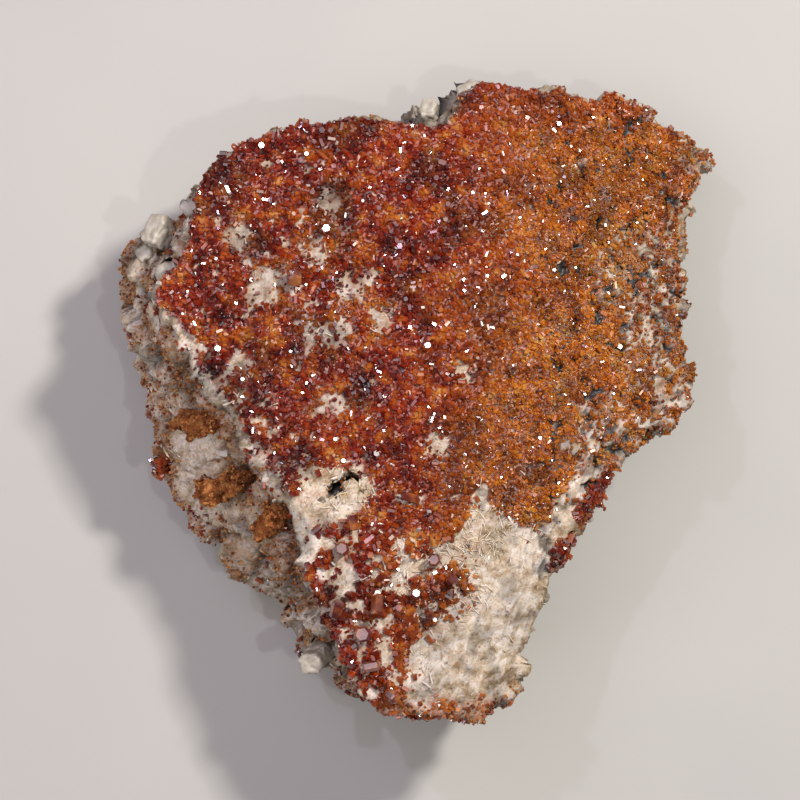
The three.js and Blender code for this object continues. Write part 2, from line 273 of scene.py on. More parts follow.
def new_material(name: str) -> tuple[bpy.types.Material, bpy.types.NodeTree]:
    """An empty node material and its tree."""
    material = bpy.data.materials.new(name)
    material.use_nodes = True
    material.node_tree.nodes.clear()
    return material, material.node_tree


@dataclass(frozen=True)
class BariteFinish:
    """Weathered barite: chalky cream, slightly waxy, stained by iron where water ran."""

    sand: str = "#967a52"
    cream: str = "#c3af94"
    chalk: str = "#e6dacd"
    straw: str = "#cdb182"
    grey: str = "#51483f"
    cloud: str = "#a0948a"
    ochre: str = "#8a4f22"
    rust: str = "#a4501e"
    shade: str = "#15110f"
    garnet: str = "#4c1208"
    russet: str = "#84290d"
    flame: str = "#a84416"
    umber: str = "#542206"
    amber: str = "#a0520c"

    def material(self) -> bpy.types.Material:
        """Builds the rock's material, which reads the skin's attributes."""
        material, tree = new_material("weathered_barite")
        place = add_node(tree, "ShaderNodeTexCoord").outputs["Object"]
        wide, middle, fine = (
            add_node(tree, "ShaderNodeTexNoise", {"Vector": place, "Scale": 1 / (size * MM), "Detail": 6.0})
            for size in (7, 2.2, 0.6)
        )
        # Barite grows in sheaves of thin blades, so its grain is drawn out along one direction.
        drawn = add_node(
            tree,
            "ShaderNodeMapping",
            {"Vector": place, "Rotation": (0.2, 0.3, math.radians(62)), "Scale": (1.5, 0.9, 1.0)},
            vector_type="TEXTURE",
        )
        sheaves = add_node(
            tree,
            "ShaderNodeTexNoise",
            {"Vector": drawn, "Scale": 1 / (1.5 * MM), "Detail": 6.0, "Roughness": 0.62, "Distortion": 0.8},
        )
        cracks = add_node(
            tree,
            "ShaderNodeTexVoronoi",
            {"Vector": drawn, "Scale": 1 / (4 * MM), "Detail": 2.0, "Randomness": 1.0},
            feature="DISTANCE_TO_EDGE",
        )
        marks = {
            name: add_node(tree, "ShaderNodeAttribute", attribute_name=name).outputs["Fac"]
            for name in ("cover", "zone", "dusk", "stain", "ochre", "wall", "hollow", "glassy")
        }
        body = add_node(tree, "ShaderNodeMath", {0: sheaves, 1: 0.6, 2: 0.01}, operation="MULTIPLY_ADD")
        body = add_node(tree, "ShaderNodeMath", {0: middle, 1: 0.4, 2: body}, operation="MULTIPLY_ADD")
        broad = add_node(tree, "ShaderNodeMapRange", {0: wide, 1: 0.3, 2: 0.7, 3: -0.06, 4: 0.08})
        body = add_node(tree, "ShaderNodeMath", {0: body, 1: broad}, operation="ADD")
        colour = add_node(
            tree, "ShaderNodeValToRGB", {"Fac": body}, {0.38: self.sand, 0.47: self.cream, 0.57: self.chalk}
        )
        grey = add_node(
            tree, "ShaderNodeValToRGB", {"Fac": wide}, {0.36: self.grey, 0.5: self.cloud, 0.64: self.chalk}
        )
        under = add_node(
            tree, "ShaderNodeValToRGB", {"Fac": fine}, {0.3: self.garnet, 0.5: self.russet, 0.72: self.flame}
        )
        warm = add_node(tree, "ShaderNodeValToRGB", {"Fac": fine}, {0.3: self.umber, 0.7: self.amber})
        under = add_node(tree, "ShaderNodeMix", {0: marks["zone"], 6: under, 7: warm}, data_type="RGBA")
        spots = add_node(tree, "ShaderNodeMapRange", {0: middle, 1: 0.4, 2: 0.58, 3: 0.2, 4: 1.0})
        ochre, stain = (
            add_node(tree, "ShaderNodeMath", {0: marks[mark], 1: spots}, operation="MULTIPLY")
            for mark in ("ochre", "stain")
        )
        covered = add_node(tree, "ShaderNodeMapRange", {0: marks["cover"], 1: 0.15, 2: 0.45})
        specks = add_node(tree, "ShaderNodeMapRange", {0: fine, 1: 0.57, 2: 0.66, 3: 0.0, 4: 0.6})
        blotches = add_node(tree, "ShaderNodeMapRange", {0: middle, 1: 0.53, 2: 0.66, 3: 0.0, 4: 0.5})
        pinholes = add_node(tree, "ShaderNodeMapRange", {0: fine, 1: 0.36, 2: 0.28, 3: 0.0, 4: 0.8})
        creases = add_node(tree, "ShaderNodeMapRange", {0: cracks, 1: 0.0, 2: 0.035, 3: 0.5, 4: 0.0})
        for over, share in (
            # Grey for the walls' translucent stone, kept on low blocks only as painted shade.
            (grey, marks["glassy"]),
            (linear(self.ochre), ochre),
            (linear(self.rust), stain),
            (linear(self.sand), creases),
            (linear(self.straw), blotches),
            (linear(self.ochre), specks),
            (linear(self.umber), pinholes),
            (under, covered),
            # Painted shade: this near black fills the vug and the walls' cracks; it also darkens sunk pits
            # and dark specks.
            (linear(self.shade), marks["hollow"]),
        ):
            colour = add_node(tree, "ShaderNodeMix", {0: share, 6: colour, 7: over}, data_type="RGBA")
        grit = add_node(tree, "ShaderNodeMapRange", {0: fine, 1: 0.3, 2: 0.7, 3: 0.7, 4: 1.15})
        dim = add_node(tree, "ShaderNodeMapRange", {0: marks["dusk"], 3: 1.0, 4: 0.5})
        for share in (grit, dim):
            colour = add_node(
                tree, "ShaderNodeMix", {0: 1.0, 6: colour, 7: share}, data_type="RGBA", blend_type="MULTIPLY"
            )
        rough = add_node(tree, "ShaderNodeMapRange", {0: sheaves, 1: 0.3, 2: 0.7, 3: 0.3, 4: 0.65})
        relief = add_node(tree, "ShaderNodeMath", {0: sheaves, 1: 1.5, 2: fine}, operation="MULTIPLY_ADD")
        bump = add_node(tree, "ShaderNodeBump", {"Height": relief, "Strength": 0.7, "Distance": 0.22 * MM})
        surface = add_node(
            tree,
            "ShaderNodeBsdfPrincipled",
            {"Base Color": colour, "Roughness": rough, "Normal": bump, "IOR": 1.64},
        )
        add_node(tree, "ShaderNodeOutputMaterial", {"Surface": surface})
        return material


@dataclass(frozen=True)
class CleavedFinish:
    """Fresh cleavage of barite: cloudy, waxy white to grey, brighter than the weathered rock."""

    name: str = "cleaved_barite"
    brown: str = "#5c4426"
    dull: str = "#847b6d"
    cloudy: str = "#a9a091"
    bright: str = "#d0c8bb"
    roughness: float = 0.42

    def material(self) -> bpy.types.Material:
        """Builds the material, varied by each grain's own tint and by clouds in the stone."""
        material, tree = new_material(self.name)
        place = add_node(tree, "ShaderNodeTexCoord").outputs["Object"]
        clouds = add_node(
            tree, "ShaderNodeTexNoise", {"Vector": place, "Scale": 1 / (1.8 * MM), "Detail": 5.0}
        )
        tint = add_node(tree, "ShaderNodeAttribute", attribute_name="tint").outputs["Fac"]
        shade = add_node(tree, "ShaderNodeMath", {0: clouds, 1: 0.25}, operation="SUBTRACT")
        shade = add_node(tree, "ShaderNodeMath", {0: tint, 1: 0.6, 2: shade}, operation="MULTIPLY_ADD")
        colour = add_node(
            tree,
            "ShaderNodeValToRGB",
            {"Fac": shade},
            {0.12: self.brown, 0.3: self.dull, 0.55: self.cloudy, 0.9: self.bright},
        )
        bump = add_node(tree, "ShaderNodeBump", {"Height": clouds, "Strength": 0.3, "Distance": 0.15 * MM})
        surface = add_node(
            tree,
            "ShaderNodeBsdfPrincipled",
            {"Base Color": colour, "Roughness": self.roughness, "Normal": bump, "IOR": 1.64},
        )
        add_node(tree, "ShaderNodeOutputMaterial", {"Surface": surface})
        return material


@dataclass(frozen=True)
class OchreFinish:
    """Earthy iron oxide: dull, powdery ochre and brown."""

    dark: str = "#4c260e"
    brown: str = "#96521f"
    yellow: str = "#c08a4c"

    def material(self) -> bpy.types.Material:
        """Builds the material, varied by each crumb's own tint."""
        material, tree = new_material("earthy_iron_oxide")
        place = add_node(tree, "ShaderNodeTexCoord").outputs["Object"]
        clouds = add_node(
            tree, "ShaderNodeTexNoise", {"Vector": place, "Scale": 1 / (1.5 * MM), "Detail": 5.0}
        )
        tint = add_node(tree, "ShaderNodeAttribute", attribute_name="tint").outputs["Fac"]
        shade = add_node(tree, "ShaderNodeMath", {0: tint, 1: 0.5, 2: clouds}, operation="MULTIPLY_ADD")
        colour = add_node(
            tree, "ShaderNodeValToRGB", {"Fac": shade}, {0.4: self.dark, 0.68: self.brown, 1.0: self.yellow}
        )
        bump = add_node(tree, "ShaderNodeBump", {"Height": clouds, "Strength": 0.6, "Distance": 0.2 * MM})
        surface = add_node(
            tree, "ShaderNodeBsdfPrincipled", {"Base Color": colour, "Roughness": 0.85, "Normal": bump}
        )
        add_node(tree, "ShaderNodeOutputMaterial", {"Surface": surface})
        return material


@dataclass(frozen=True)
class VanadiniteFinish:
    """Vanadinite: almost diamond-bright faces over deep red, brown or orange bodies.

    Its index is about 2.35. Small, etched faces are given less, so that their deep colour shows.
    """

    name: str = "vanadinite_crystal"
    red: tuple[str, ...] = ("#2a0402", "#560e04", "#801e05", "#a03a08", "#b46a2c")
    orange: tuple[str, ...] = ("#3f1905", "#823a0a", "#b05e13", "#c47a22", "#cc9f5a")
    depth: float = -0.82
    cloud: float = 0.35
    ior: float = 2.0

    def material(self) -> bpy.types.Material:
        """Builds the material, from each crystal's own tint and the zone that it grew in."""
        material, tree = new_material(self.name)
        place = add_node(tree, "ShaderNodeTexCoord").outputs["Object"]
        regions, patches, flaws = (
            add_node(tree, "ShaderNodeTexNoise", {"Vector": place, "Scale": 1 / (size * MM), "Detail": 3.0})
            for size in (8, 2.4, 0.5)
        )
        tint, zone, dusk = (
            add_node(tree, "ShaderNodeAttribute", attribute_name=name).outputs["Fac"]
            for name in ("tint", "zone", "dusk")
        )
        # A body's depth of colour follows the crystal itself, the patch that it grew in and its flaws.
        depth = add_node(tree, "ShaderNodeMath", {0: tint, 1: 0.42, 2: self.depth}, operation="MULTIPLY_ADD")
        depth = add_node(tree, "ShaderNodeMath", {0: patches, 1: 0.95, 2: depth}, operation="MULTIPLY_ADD")
        depth = add_node(tree, "ShaderNodeMath", {0: regions, 1: 0.9, 2: depth}, operation="MULTIPLY_ADD")
        depth = add_node(tree, "ShaderNodeMath", {0: flaws, 1: 0.4, 2: depth}, operation="MULTIPLY_ADD")
        places = (0.05, 0.3, 0.52, 0.75, 0.97)
        red, orange = (
            add_node(tree, "ShaderNodeValToRGB", {"Fac": depth}, dict(zip(places, tones)))
            for tones in (self.red, self.orange)
        )
        warmth = add_node(tree, "ShaderNodeMapRange", {0: patches, 1: 0.5, 2: 0.66, 3: 0.0, 4: 0.6})
        warmth = add_node(tree, "ShaderNodeMath", {0: zone, 1: warmth}, operation="MAXIMUM")
        colour = add_node(tree, "ShaderNodeMix", {0: warmth, 6: red, 7: orange}, data_type="RGBA")
        dim = add_node(tree, "ShaderNodeMapRange", {0: dusk, 3: 1.0, 4: 0.52})
        colour = add_node(
            tree, "ShaderNodeMix", {0: 1.0, 6: colour, 7: dim}, data_type="RGBA", blend_type="MULTIPLY"
        )
        rough = add_node(tree, "ShaderNodeMapRange", {0: zone, 3: 0.16, 4: 0.2})
        surface = add_node(
            tree,
            "ShaderNodeBsdfPrincipled",
            {
                "Base Color": colour, "Roughness": rough, "IOR": self.ior, "Subsurface Weight": self.cloud,
                "Subsurface Radius": (1.0, 0.3, 0.12), "Subsurface Scale": 0.5 * MM,
            },
        )
        add_node(tree, "ShaderNodeOutputMaterial", {"Surface": surface})
        return material


@dataclass(frozen=True)
class FloorFinish:
    """Matt pale paint, as on a studio table."""

    pale: str = "#b7b6b2"
    warm: str = "#bcbab5"

    def material(self) -> bpy.types.Material:
        """Builds the floor's material, with the faint clouds of a rolled coat."""
        material, tree = new_material("matt_paint")
        place = add_node(tree, "ShaderNodeTexCoord").outputs["Object"]
        clouds = add_node(tree, "ShaderNodeTexNoise", {"Vector": place, "Scale": 1 / (60 * MM)})
        colour = add_node(
            tree, "ShaderNodeValToRGB", {"Fac": clouds}, {0.35: self.pale, 0.65: self.warm}
        )
        surface = add_node(tree, "ShaderNodeBsdfPrincipled", {"Base Color": colour, "Roughness": 0.8})
        add_node(tree, "ShaderNodeOutputMaterial", {"Surface": surface})
        return material


# ------------------------------------------------------------------ grains that repeat


class Grain(Enum):
    """The small shapes that are grown over the rock, each about 1 unit wide and 1 tall."""

    PRISM = "hexagonal prism"
    TABLET = "barite tablet"
    LATH = "barite lath"
    CRUMB = "crumb"

    def mesh(self) -> bpy.types.Mesh:
        """Builds the shape standing on z = -0.5, with outward faces."""
        shell = bmesh.new()
        if self is Grain.CRUMB:
            bmesh.ops.create_icosphere(shell, subdivisions=1, radius=0.5)
            for vertex in shell.verts:
                vertex.co *= 1 + 0.35 * noise.noise(vertex.co * 5.0)
        else:
            outline = self.outline()
            rings = self.rings()
            loops = [
                [shell.verts.new((x * scale, y * scale, z)) for x, y in outline] for z, scale in rings
            ]
            for low, high in zip(loops, loops[1:]):
                for at in range(len(outline)):
                    after = (at + 1) % len(outline)
                    shell.faces.new((low[at], low[after], high[after], high[at]))
            shell.faces.new(reversed(loops[0]))
            shell.faces.new(loops[-1])
        mesh = bpy.data.meshes.new(self.value)
        shell.to_mesh(mesh)
        shell.free()
        return mesh

    def outline(self) -> list[tuple[float, float]]:
        """The shape's outline seen along its length, anticlockwise."""
        if self is Grain.PRISM:
            corners = [math.radians(60 * at) for at in range(6)]
            return [(0.5 * math.cos(angle), 0.5 * math.sin(angle)) for angle in corners]
        if self is Grain.TABLET:
            return [(0.5, -0.12), (0.36, 0.16), (-0.3, 0.2), (-0.5, 0.1), (-0.4, -0.2), (0.3, -0.18)]
        return [(0.5, -0.03), (0.42, 0.04), (-0.45, 0.05), (-0.5, -0.02)]

    def rings(self) -> list[tuple[float, float]]:
        """Height and width of the shape at each level, from the bottom up."""
        if self is Grain.PRISM:
            return [(-0.5, 1.0), (0.5, 1.0)]
        if self is Grain.TABLET:
            return [(-0.5, 0.85), (0.38, 1.0), (0.5, 0.82)]
        return [(-0.5, 0.7), (0.5, 0.45)]


@dataclass(frozen=True)
class Growth:
    """One kind of grain, grown over a surface where a mask says.

    Sizes are in millimetres, and angles in degrees. Mask and sizes name attributes of the surface: how
    thickly the grains stand, and how much larger or smaller they are.
    """

    name: str
    grain: Grain
    mask: str
    spacing: float
    smallest: float
    largest: float
    seed: int
    slender: tuple[float, float] = (0.7, 1.3)
    tilt: float = 40.0
    sink: float = 0.15
    crowding: float = 2.5
    sizes: str = "even"
    spin: float = 360.0

    def tree(self) -> bpy.types.NodeTree:
        """Builds the node tree that grows the grains.

        Returns:
            A geometry tree with named inputs for the sizes.
        """
        tree = bpy.data.node_groups.new(f"grow {self.name}", "GeometryNodeTree")
        plain = "NodeSocketFloat"
        for name, kind in {
            "Geometry": "NodeSocketGeometry", "Shape": "NodeSocketObject", "Mask": "NodeSocketString",
            "Sizes": "NodeSocketString", "Spacing": plain, "Density": plain, "Smallest": plain,
            "Largest": plain, "Stubby": plain, "Slender": plain, "Tilt": plain, "Spin": plain, "Sink": plain,
            "Seed": "NodeSocketInt", "Finish": "NodeSocketMaterial",
        }.items():
            tree.interface.new_socket(name, in_out="INPUT", socket_type=kind)
        tree.interface.new_socket("Geometry", in_out="OUTPUT", socket_type="NodeSocketGeometry")
        given = add_node(tree, "NodeGroupInput").outputs
        mask = add_node(tree, "GeometryNodeInputNamedAttribute", {"Name": given["Mask"]})
        points = add_node(
            tree,
            "GeometryNodeDistributePointsOnFaces",
            {"Mesh": given["Geometry"], "Distance Min": given["Spacing"], "Density Max": given["Density"],
             "Density Factor": mask, "Seed": given["Seed"]},
            distribute_method="POISSON",
        )
        chance = add_node(tree, "FunctionNodeRandomValue", {"Seed": given["Seed"]})
        skewed = add_node(tree, "ShaderNodeMath", {0: chance, 1: 2.0}, operation="POWER")
        size = add_node(
            tree,
            "ShaderNodeMapRange",
            {0: skewed, 3: given["Smallest"], 4: given["Largest"]},
        )
        local = add_node(tree, "GeometryNodeInputNamedAttribute", {"Name": given["Sizes"]})
        size = add_node(tree, "ShaderNodeMath", {0: size, 1: local}, operation="MULTIPLY")
        slender = add_node(
            tree,
            "FunctionNodeRandomValue",
            {"Min": given["Stubby"], "Max": given["Slender"], "Seed": 7},
        )
        tall = add_node(tree, "ShaderNodeMath", {0: size, 1: slender}, operation="MULTIPLY")
        scale = add_node(tree, "ShaderNodeCombineXYZ", {"X": size, "Y": size, "Z": tall})
        back = add_node(tree, "ShaderNodeMath", {0: given["Tilt"], 1: -1.0}, operation="MULTIPLY")
        turns = add_node(
            tree,
            "FunctionNodeRandomValue",
            {
                "Min": add_node(tree, "ShaderNodeCombineXYZ", {"X": back, "Y": back}),
                "Max": add_node(
                    tree, "ShaderNodeCombineXYZ", {"X": given["Tilt"], "Y": given["Tilt"], "Z": given["Spin"]}
                ),
                "Seed": 3,
            },
            data_type="FLOAT_VECTOR",
        )
        turned = add_node(
            tree,
            "FunctionNodeRotateRotation",
            {
                "Rotation": points.outputs["Rotation"],
                "Rotate By": add_node(tree, "FunctionNodeEulerToRotation", {"Euler": turns}),
            },
            rotation_space="LOCAL",
        )
        lift = add_node(tree, "ShaderNodeMath", {0: 0.5, 1: given["Sink"]}, operation="SUBTRACT")
        lift = add_node(tree, "ShaderNodeMath", {0: lift, 1: tall}, operation="MULTIPLY")
        rise = add_node(
            tree,
            "ShaderNodeVectorMath",
            {"Vector": points.outputs["Normal"], "Scale": lift},
            operation="SCALE",
        )
        raised = add_node(
            tree, "GeometryNodeSetPosition", {"Geometry": points.outputs["Points"], "Offset": rise}
        )
        shape = add_node(tree, "GeometryNodeObjectInfo", {"Object": given["Shape"]})
        grown = add_node(
            tree,
            "GeometryNodeInstanceOnPoints",
            {"Points": raised, "Instance": shape.outputs["Geometry"], "Rotation": turned, "Scale": scale},
        )
        tint = add_node(tree, "FunctionNodeRandomValue", {"Seed": 11})
        tinted = add_node(
            tree,
            "GeometryNodeStoreNamedAttribute",
            {"Geometry": grown, "Name": "tint", "Value": tint},
            domain="INSTANCE",
        )
        real = add_node(tree, "GeometryNodeRealizeInstances", {"Geometry": tinted})
        flat = add_node(
            tree, "GeometryNodeSetShadeSmooth", {"Geometry": real, "Shade Smooth": False}
        )
        dressed = add_node(
            tree, "GeometryNodeSetMaterial", {"Geometry": flat, "Material": given["Finish"]}
        )
        add_node(tree, "NodeGroupOutput", {"Geometry": dressed})
        return tree

    def grow(self, surface: bpy.types.Mesh, finish: bpy.types.Material) -> bpy.types.Object:
        """Grows the grains over a surface.

        Args:
            surface: The mesh that carries the mask.
            finish: The grains' material.

        Returns:
            A plain mesh object that holds only the grains.
        """
        shape = placed(self.grain.mesh(), "shape")
        holder = placed(surface.copy(), "holder")
        modifier = holder.modifiers.new("growth", "NODES")
        tree = self.tree()
        modifier.node_group = tree
        values = {
            "Shape": shape, "Mask": self.mask, "Sizes": self.sizes, "Spacing": self.spacing * MM,
            "Density": self.crowding / (self.spacing * MM) ** 2, "Smallest": self.smallest * MM,
            "Largest": self.largest * MM, "Stubby": self.slender[0], "Slender": self.slender[1],
            "Tilt": math.radians(self.tilt), "Spin": math.radians(self.spin), "Sink": self.sink,
            "Seed": self.seed, "Finish": finish,
        }
        for entry in tree.interface.items_tree:
            if entry.in_out == "INPUT" and entry.name in values:
                modifier[entry.identifier] = values[entry.name]
        mesh = baked(holder, self.name)
        bpy.data.objects.remove(shape)
        for layer in [layer.name for layer in mesh.attributes if not layer.is_required]:
            if layer not in ("tint", "zone", "dusk", "sharp_face", "material_index"):
                mesh.attributes.remove(mesh.attributes[layer])
        return placed(mesh, self.name)


# ------------------------------------------------------------------ the rock


@dataclass(frozen=True)
class Spot:
    """A patch of the face round a place in millimetres.

    The reach is in millimetres, stretch lengthens the patch along its turn, and turn is in degrees.
    """

    middle: Vector
    reach: float
    stretch: float = 1.0
    turn: float = 0.0

    @classmethod
    def round(cls, node: str, reach: float, stretch: float = 1.0, turn: float = 0.0) -> "Spot":
        """Makes a patch round the middle of one of the frame's pieces."""
        low, high = (Vector(corner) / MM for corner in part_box(node))
        return cls((low + high) / 2, reach, stretch, turn)

    def closeness(self, point: Vector) -> float:
        """How far a place in millimetres is from the middle, where 1 is the patch's edge."""
        x, y = point.x - self.middle.x, point.y - self.middle.y
        angle = math.radians(self.turn)
        along = (x * math.cos(angle) + y * math.sin(angle)) / self.stretch
        aside = y * math.cos(angle) - x * math.sin(angle)
        return math.hypot(along, aside) / self.reach


def tree_of(node: str) -> BVHTree:
    """The surface of one of the frame's pieces, ready to be measured from."""
    mesh = merged_copy(node)
    mesh.calc_loop_triangles()
    corners = [vertex.co for vertex in mesh.vertices]
    return BVHTree.FromPolygons(corners, [tuple(face.vertices) for face in mesh.loop_triangles])


def enclosed(tree: BVHTree, place: Vector, reach: float) -> bool:
    """Whether a surface stands round a place in metres on all sides, within reach."""
    for side in range(SIDES):
        angle = 2 * math.pi * side / SIDES
        way = Vector((math.cos(angle), math.sin(angle), 0.0))
        if tree.ray_cast(place, way, reach)[0] is None:
            return False
    return True


def distance_from(places: list[Vector]) -> Callable[[Vector], float]:
    """Makes a function that says how far a place is from the nearest of some, in millimetres."""
    near = KDTree(len(places))
    for index, place in enumerate(places):
        near.insert(place, index)
    near.balance()
    return lambda point: near.find(point)[2]


@dataclass(frozen=True)
class Site:
    """What surrounds a place on the rock. Each part without a comment goes from 0 to 1."""

    point: Vector  # in millimetres
    distance: float  # from the frame's carpet, in millimetres
    across: float  # from -1 at the left of the frame's box to 1 at its right
    along: float  # from -1 at the near side of the frame's box to 1 at its far side
    upward: float  # how much the rock faces up, from -1 to 1
    cover: float
    wall: float
    west: float
    crest: float
    windowed: float
    foot_of_face: float
    mottle: float
    redness: float
    near_vug: float
    in_sheaf: float

    @property
    def edge(self) -> float:
        """How near the frayed edge of the cover the place is, from 0 to 1."""
        return smooth(0.0, 0.3, self.cover) * smooth(0.95, 0.5, self.cover)

    @property
    def near_rim(self) -> float:
        """How near the frame's carpet the bare stone is, from 0 to 1."""
        return smooth(5.0, 0.8, self.distance) * (1 - self.cover)


@dataclass
class Rock:
    """The barite matrix: its broken walls, its face and what marks them. Sizes are in millimetres."""

    voxel: float = 0.49
    block_size: float = 6.5
    block_depth: float = 1.55
    chip_size: float = 2.3
    chip_depth: float = 0.55
    face_relief: float = 0.45
    carpet_rise: float = 0.3
    crust_reach: float = 0.75  # how far a crust stains the rock, as a share of its box's diagonal
    face_up: float = 0.6  # how much the face's stone looks up, at least, where 1 is straight up
    carpet_middle: float = 0.9  # from the stone to the middle of the carpet's thickness
    search_reach: float = 7.0
    vug_depth: float = 2.0
    vug_size: float = 3.6
    open_rock: float = 1.5
    bay_across: float = 0.5
    bay_along: float = -0.15
    zone_middle: float = 8.0  # how far right of the origin red turns to orange
    zone_lean: float = 0.2
    half_split: float = 0.28  # where the fine grains are divided into two pieces
    garnet: tuple[Spot, ...] = (
        Spot.round("vanadinite_crust_east", 1.7, 2.4, 50),
        Spot.round("vanadinite_crust_southeast", 1.4, 1.9, 60),
    )
    ledge: tuple[Spot, ...] = (Spot.round("barite_blade_06", 6.0), Spot.round("barite_blade_07", 6.0))
    thin: Spot = Spot.round("vanadinite_crystal_12", 12.0, 1.2, 20)
    sheaf: Spot = Spot.round("vanadinite_crystal_05", 8.0, 1.5, 35)
    scatter: tuple[Spot, ...] = (
        Spot.round("vanadinite_crystal_08", 5.0), Spot.round("vanadinite_crystal_09", 6.0),
        Spot.round("vanadinite_crystal_03", 5.0),
    )
    vug: Spot | None = field(default=None, init=False)
    from_window: Callable[[Vector], float] | None = field(default=None, init=False)
    from_bay: Callable[[Vector], float] | None = field(default=None, init=False)
    crusts: list[tuple[Vector, float]] = field(default_factory=list, init=False)
    skin: bpy.types.Mesh | None = field(default=None, init=False)

    def find_vug(self) -> None:
        """Finds the vug: the deep floor in the frame's matrix that stone stands round on all sides."""
        matrix = tree_of("barite_matrix")
        sockets = [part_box(name) for name in nodes_called("barite_blade")]
        floor = []
        for vertex in merged_copy("barite_matrix").vertices:
            in_socket = any(
                all(low[axis] - MM < vertex.co[axis] < high[axis] + MM for axis in range(3))
                for low, high in sockets
            )
            lifted = vertex.co + self.vug_depth * MM * UP
            if not in_socket and enclosed(matrix, lifted, self.search_reach * MM):
                floor.append(vertex.co / MM)
        self.vug = Spot(sum(floor, Vector()) / len(floor), self.vug_size)

    def find_openings(self, mesh: bpy.types.Mesh, carpet: BVHTree) -> None:
        """Finds the windows in the frame's carpet, and the bay that it leaves bare at the right rim.

        Args:
            mesh: The rock, before anything is moved.
            carpet: The surface of the frame's carpet.
        """
        windows, bay = [], []
        for vertex in mesh.vertices:
            if vertex.normal.z < self.face_up or carpet.ray_cast(vertex.co, UP)[0] is not None:
                continue
            point = vertex.co / MM
            lifted = vertex.co + self.carpet_middle * MM * UP
            if enclosed(carpet, lifted, self.search_reach * MM) and self.vug.closeness(point) > 1:
                windows.append(point)
            elif carpet.find_nearest(vertex.co)[3] > self.open_rock * MM:
                across, along = self.shares(point)
                if across > self.bay_across and along > self.bay_along:
                    bay.append(point)
        self.from_window, self.from_bay = distance_from(windows), distance_from(bay)
        LOG.info("vug at %s, %d window and %d bay places", self.vug.middle, len(windows), len(bay))

    def shares(self, point: Vector) -> tuple[float, float]:
        """Where a place in millimetres is across and along the frame's box, each from -1 to 1."""
        return (point.x - BOX_MIDDLE.x) / BOX_HALF.x, (point.y - BOX_MIDDLE.y) / BOX_HALF.y

    def covered(self, point: Vector, distance: float, upward: float) -> float:
        """How fully vanadinite covers a place.

        Args:
            point: The place in millimetres.
            distance: Its distance from the frame's carpet, in millimetres.
            upward: How much the rock faces up there, from -1 to 1.

        Returns:
            0 for bare rock to 1 for full cover.
        """
        if upward < -0.1:
            return 0.0
        across, along = self.shares(point)
        ragged = 0.5 * lumps(point, 3.2, 3) + 0.35 * lumps(point, 1.1, 2, 5.0)
        # The cover runs right over the far rim, and stops short of the rim beside the iron oxide crusts.
        spread = 0.9 * smooth(0.15, 0.45, along) - 0.7 * self.beside_crust(point)
        cover = smooth(1.25 + spread, 0.5 + spread, distance + ragged)
        frayed = 0.5 * lumps(point, 1.4, 3, 4.0)
        cover *= blend(0.1, 1.0, smooth(0.5, 1.6, self.from_window(point) + 1.6 * frayed))
        cover *= smooth(0.75, 1.05, self.vug.closeness(point) + 0.5 * frayed)
        west = smooth(0.1, -0.2, across)
        flecked = blend(0.4, 0.17, smooth(1.2, 0.5, self.thin.closeness(point)))
        cover *= 1 - 0.9 * west * smooth(flecked, flecked + 0.15, lumps(point, 1.7, 3, 9.0))
        parted = smooth(-0.02, 0.16, lumps(point, 2.6, 3, 12.0))
        cover *= 1 - 0.95 * self.in_cluster(along) * parted
        patchy = 0.85 * smooth(-0.02, 0.18, lumps(point, 1.6, 3, 6.0))
        cover = blend(cover, patchy, self.mottle(point))
        if across > 0.3:
            cover *= 1 - 0.7 * smooth(0.3, 0.42, lumps(point, 1.5, 3, 47.0))
        return max(cover * smooth(0.0, 0.4, upward), self.redness(point) * smooth(-0.1, 0.2, upward))

    def mottle(self, point: Vector) -> float:
        """How far a place lies in the part where stone, grains and pits mix, from 0 to 1."""
        away = self.from_bay(point) + 3.0 * lumps(point, 4, 3, 31.0)
        return smooth(6.0, 2.5, away)

    def beside_crust(self, point: Vector) -> float:
        """How near a place is to the iron oxide crusts on the left wall, from 0 to 1."""
        return max(smooth(18.0, 12.0, (point - middle).length) for middle, _ in self.crusts)

    def redness(self, point: Vector) -> float:
        """How far a place lies in one of the garnet patches on the right rim, from 0 to 1."""
        frayed = 0.5 * lumps(point, 2.5, 3, 41.0)
        return max(smooth(1.2, 0.8, spot.closeness(point) + frayed) for spot in self.garnet)

    def in_cluster(self, along: float) -> float:
        """How far a place lies in the near part, where the crystals stand apart, from 0 to 1."""
        return smooth(-0.33, -0.46, along)

    def survey(self, point: Vector, upward: float, distance: float) -> Site:
        """Says what surrounds a place.

        Args:
            point: The place in millimetres.
            upward: How much the rock faces up there, from -1 to 1.
            distance: Its distance from the frame's carpet, in millimetres.

        Returns:
            The site.
        """
        across, along = self.shares(point)
        cover = self.covered(point, distance, upward)
        wall = smooth(0.82, 0.45, upward)
        west = smooth(0.1, -0.3, across + 0.2 * along)
        windowed = 0.7 * (1 - wall) * (1 - cover) * smooth(3.5, 1.0, distance) * smooth(0.2, 0.0, across)
        windowed *= smooth(-0.2, 0.25, lumps(point, 1.6, 3, 51.0)) * smooth(-0.25, -0.1, along)
        foot = smooth(-0.92, -0.96, along + 0.03 * lumps(point, 2.2, 2, 1.5)) * smooth(18, 24, point.z)
        return Site(
            point=point,
            distance=distance,
            across=across,
            along=along,
            upward=upward,
            cover=cover,
            wall=wall,
            west=west,
            crest=west * smooth(4.2, 2.4, distance + 1.2 * lumps(point, 2.5, 3, 55.0)),
            windowed=windowed,
            foot_of_face=foot,
            mottle=self.mottle(point),
            redness=self.redness(point),
            near_vug=smooth(1.7, 1.0, self.vug.closeness(point) + 0.5 * lumps(point, 2, 3, 63.0)),
            in_sheaf=smooth(1.2, 0.6, self.sheaf.closeness(point) + 0.5 * lumps(point, 3, 3, 43.0)),
        )

